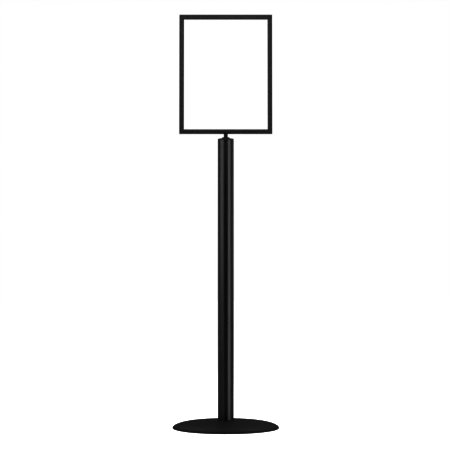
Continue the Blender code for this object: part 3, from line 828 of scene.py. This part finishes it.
def rail_section():
    """Rail section as (distance in from the frame's outer edge, y) points."""
    low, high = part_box("frame_bottom_rail")
    front, back = low.y, high.y
    lip = RAIL_FACE - RIB_THICKNESS
    rib_end = KEY_CHANNEL_END + RIB_THICKNESS
    channel = [(RAIL_FACE, GROOVE_HALF_WIDTH), (lip, GROOVE_HALF_WIDTH), (lip, CHANNEL_HALF_WIDTH),
               (rib_end, CHANNEL_HALF_WIDTH), (rib_end, GROOVE_HALF_WIDTH),
               (KEY_CHANNEL_END, GROOVE_HALF_WIDTH), (KEY_CHANNEL_END, CHANNEL_HALF_WIDTH),
               (RAIL_WALL, CHANNEL_HALF_WIDTH)]
    bevel_y = front + RAIL_BEVEL
    face = [(0, bevel_y), (RAIL_BEVEL, front), (RAIL_FACE - RAIL_BEVEL, front), (RAIL_FACE, bevel_y)]
    reverse = [(RAIL_FACE, back), (0, back)]
    front_half = [(across, -y) for across, y in channel]
    outside, inside = 0.0007, 0.0003
    reaches = [outside] * len(face) + [inside] * (2 * len(channel)) + [outside] * len(reverse)
    return softened(face + front_half + channel[::-1] + reverse, reaches)


def mitred_rail(name, section, length):
    """A rail along X whose outer edge is at z = 0 and whose ends are cut at 45 degrees."""
    bm = bmesh.new()
    ends = []
    for end in (-1, 1):
        ends.append([bm.verts.new((end * (length / 2 - MITRE_GAP - across), y, across))
                     for across, y in section])
        bm.faces.new(ends[-1])
    add_walls(bm, *ends)
    return finish_mesh(name, bm)


def add_rails(materials):
    left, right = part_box("frame_left_rail")[0].x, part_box("frame_right_rail")[1].x
    bottom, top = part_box("frame_bottom_rail")[0].z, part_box("frame_top_rail")[1].z
    width, height = right - left, top - bottom
    centre = Vector((0, 0, (top + bottom) / 2))
    section = rail_section()
    screw_across = (RAIL_WALL + KEY_CHANNEL_END) / 2
    screw_y = 0.006
    towards_back = Matrix.Rotation(QUARTER, 4, "X")
    sides = (("bottom", width, height / 2, 0), ("right", height, width / 2, 270),
             ("top", width, height / 2, 180), ("left", height, width / 2, 90))
    for side, length, distance, turn in sides:
        mesh = mitred_rail(f"frame_{side}_rail_coated", section, length)
        place = (Matrix.Translation(centre) @ Matrix.Rotation(math.radians(turn), 4, "Y")
                 @ Matrix.Translation((0, 0, -distance)))
        mesh.transform(place)
        rail = new_piece(mesh, materials["frame_coat"])
        cutters = []
        for end in (-1, 1):
            spot = place @ Vector((end * (length / 2 - KEY_SCREW_DISTANCE), screw_y, screw_across))
            cutters.append(drill(KEY_SCREW_RADIUS + KEY_SCREW_CLEARANCE,
                                 Matrix.Translation(spot) @ towards_back))
        if side == "bottom":
            cutters.append(drill(STEM_SCREW_HOLE, Matrix.Translation((0, 0, bottom))))
        cut(rail, cutters)
        install(rail, f"frame_{side}_rail")


def add_keys(materials):
    for corner in CORNERS:
        node = f"corner_key_{corner}"
        low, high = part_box(node)
        side_x = 1 if "right" in corner else -1
        side_z = 1 if "top" in corner else -1
        outer = Vector((high.x if side_x > 0 else low.x, high.z if side_z > 0 else low.z))
        inner = Vector((low.x if side_x > 0 else high.x, low.z if side_z > 0 else high.z))
        elbow = outer - Vector((side_x, side_z)) * KEY_LEG
        outline = [(outer.x, outer.y), (inner.x, outer.y), (inner.x, elbow.y), (elbow.x, elbow.y),
                   (elbow.x, inner.y), (outer.x, inner.y)]
        loops = [rounded(outline, 0.0008)]
        for leg in ("x", "z"):
            screw_low, screw_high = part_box(f"key_screw_{corner}_{leg}")
            middle = (screw_low + screw_high) / 2
            loops.append(circle(KEY_SCREW_RADIUS, HOLE_STEPS, (middle.x, middle.z)))
        mesh = soft_prism(f"{node}_steel", loops, -high.y, -low.y, 0.0002, 2)
        mesh.transform(Matrix.Rotation(QUARTER, 4, "X"))
        install(new_piece(mesh, materials["zinc"]), node)


def add_key_screws(materials):
    edge, pitch = 0.0001, 0.0005
    for corner in CORNERS:
        for leg in ("x", "z"):
            node = f"key_screw_{corner}_{leg}"
            low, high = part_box(node)
            radius = (high.x - low.x) / 2
            length = high.y - low.y
            socket = radius * 0.52
            rings = [hexagon(socket, edge), (radius * 0.78, 0), (radius * 0.86, edge)]
            rings += thread(radius, 0.00022, pitch, 0.0003, length - 0.0006)
            rings += [(radius * 0.62, length), (0, length), (0, length * 0.34),
                      hexagon(socket, length * 0.30)]
            mesh = loft(f"{node}_socket", rings, 48)
            spot = Vector(((low.x + high.x) / 2, high.y, (low.z + high.z) / 2))
            mesh.transform(Matrix.Translation(spot) @ Matrix.Rotation(QUARTER, 4, "X"))
            install(new_piece(mesh, materials["zinc"]), node)


def add_stem_fixing(materials):
    low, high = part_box("stem_backing_plate")
    outline = rounded([(low.x, low.y), (high.x, low.y), (high.x, high.y), (low.x, high.y)], 0.0020, 6)
    loops = [outline, circle(STEM_SCREW_HOLE, 40)]
    mesh = soft_prism("stem_backing_strip", loops, low.z, high.z, 0.0002, 2)
    install(new_piece(mesh, materials["zinc"]), "stem_backing_plate")

    low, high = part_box("stem_fixing_screw")
    head, head_z = high.x, high.z - 0.0017
    shank, socket = 0.0024, 0.00135
    rings = [(0, low.z), (0.0017, low.z)]
    rings += thread(shank, 0.0005, 0.0008, low.z + 0.0005, head_z - 0.0006)
    rings += [(shank, head_z - 0.0003), (0.0026, head_z), (head - 0.0001, head_z),
              (head, head_z + 0.0002), (head - 0.0003, head_z + 0.0010),
              (head - 0.0010, high.z - 0.0001), (head - 0.0015, high.z),
              hexagon(socket, high.z - 0.00005), hexagon(socket, high.z - 0.0010),
              (0, high.z - 0.0011)]
    install(new_piece(loft("stem_screw_button", rings, 60), materials["zinc"]), "stem_fixing_screw")


# ---- stage: floor, light, camera ------------------------------------------------

def area_lamp(name, width, height, power, location, rotation):
    data = bpy.data.lights.new(name, "AREA")
    data.shape = "RECTANGLE"
    data.size = width
    data.size_y = height
    data.energy = power
    lamp = bpy.data.objects.new(name, data)
    bpy.context.scene.collection.objects.link(lamp)
    lamp.location = location
    lamp.rotation_euler = rotation
    lamp.visible_camera = False


def add_lights():
    """Upright softboxes that face the stand, 0 degrees on the camera's side and 90 on +X; one above."""
    for name, azimuth, distance, width, bottom, top, power in SOFTBOXES:
        turn = math.radians(azimuth)
        location = (distance * math.sin(turn), -distance * math.cos(turn), (bottom + top) / 2)
        area_lamp(name, width, top - bottom, power, location, (QUARTER, 0, turn))
    area_lamp("overhead_softbox", 2.0, 2.0, 10, (0, 0.2, 3.0), (0, 0, 0))


def add_floor():
    """A pale floor that glows, so that it stays even and the stand hardly shades it."""
    bpy.ops.mesh.primitive_plane_add(size=60, location=(0, 0, 0))
    floor = bpy.context.object
    floor.name = "studio_floor"
    finish = Finish("pale_floor", (0.80, 0.80, 0.80), roughness=0.9, specular=0.0)
    finish.shader.inputs["Emission Color"].default_value = (1, 1, 1, 1)
    finish.shader.inputs["Emission Strength"].default_value = 0.72
    floor.data.materials.append(finish.material)
    floor.visible_glossy = False
    floor.visible_diffuse = False
    floor.visible_shadow = False


def background(tree, strength=1.0):
    node = tree.nodes.new("ShaderNodeBackground")
    node.inputs["Color"].default_value = (1, 1, 1, 1)
    node.inputs["Strength"].default_value = strength
    return node


def mix_shaders(tree, factor, first, second):
    node = tree.nodes.new("ShaderNodeMixShader")
    tree.links.new(factor, node.inputs["Fac"])
    tree.links.new(first, node.inputs[1])
    tree.links.new(second, node.inputs[2])
    return node.outputs["Shader"]


def add_world():
    """A white room that the camera sees as plain white.

    In reflections it is dark near the horizon, so that the stand reads as black. It brightens
    towards the ceiling, and below the horizon it stands in for the floor's glow.
    """
    world = bpy.data.worlds.new("studio")
    bpy.context.scene.world = world
    world.use_nodes = True
    tree = world.node_tree
    tree.nodes.clear()
    output = tree.nodes.new("ShaderNodeOutputWorld")
    path = tree.nodes.new("ShaderNodeLightPath")
    seen = background(tree)
    fill = background(tree, 0.45)
    mirrored = background(tree)

    direction = tree.nodes.new("ShaderNodeTexCoord")
    axes = tree.nodes.new("ShaderNodeSeparateXYZ")
    tree.links.new(direction.outputs["Generated"], axes.inputs["Vector"])
    ceiling = map_range(tree, axes.outputs["Z"], (0.12, 1.0, 0.030, 1.20), "SMOOTHSTEP")
    floor_glow = map_range(tree, axes.outputs["Z"], (-0.30, -0.06, 1.5, 0.0), "SMOOTHSTEP")
    both = tree.nodes.new("ShaderNodeMath")
    both.operation = "ADD"
    tree.links.new(ceiling, both.inputs[0])
    tree.links.new(floor_glow, both.inputs[1])
    tree.links.new(both.outputs["Value"], mirrored.inputs["Strength"])

    unseen = mix_shaders(tree, path.outputs["Is Diffuse Ray"],
                         mirrored.outputs["Background"], fill.outputs["Background"])
    room = mix_shaders(tree, path.outputs["Is Camera Ray"], unseen, seen.outputs["Background"])
    tree.links.new(room, output.inputs["Surface"])


def add_camera():
    """Low front view: the lens is at knee height and tips up a little."""
    data = bpy.data.cameras.new("front_camera")
    data.sensor_width = 36
    data.lens = CAMERA_LENS
    data.clip_end = 200
    camera = bpy.data.objects.new("front_camera", data)
    bpy.context.scene.collection.objects.link(camera)
    camera.location = CAMERA_PLACE
    camera.rotation_euler = (math.radians(90 + CAMERA_TIP), 0, 0)
    bpy.context.scene.camera = camera


def set_contrast():
    """A contrasty tone curve, like a retouched catalogue picture: white stays white, blacks close up."""
    settings = bpy.context.scene.view_settings
    settings.view_transform = "Standard"
    settings.gamma = 0.55


def main():
    materials = make_materials()
    add_camera()
    for add in (add_cover, add_edge_ring, add_weight, add_base_bolt, add_base_washers, add_foot_insert,
                add_column, add_cap, add_bearings, add_stem, add_collar, add_stem_nut,
                add_rails, add_keys, add_key_screws, add_stem_fixing):
        add(materials)
    add_floor()
    add_world()
    add_lights()
    set_contrast()


main()
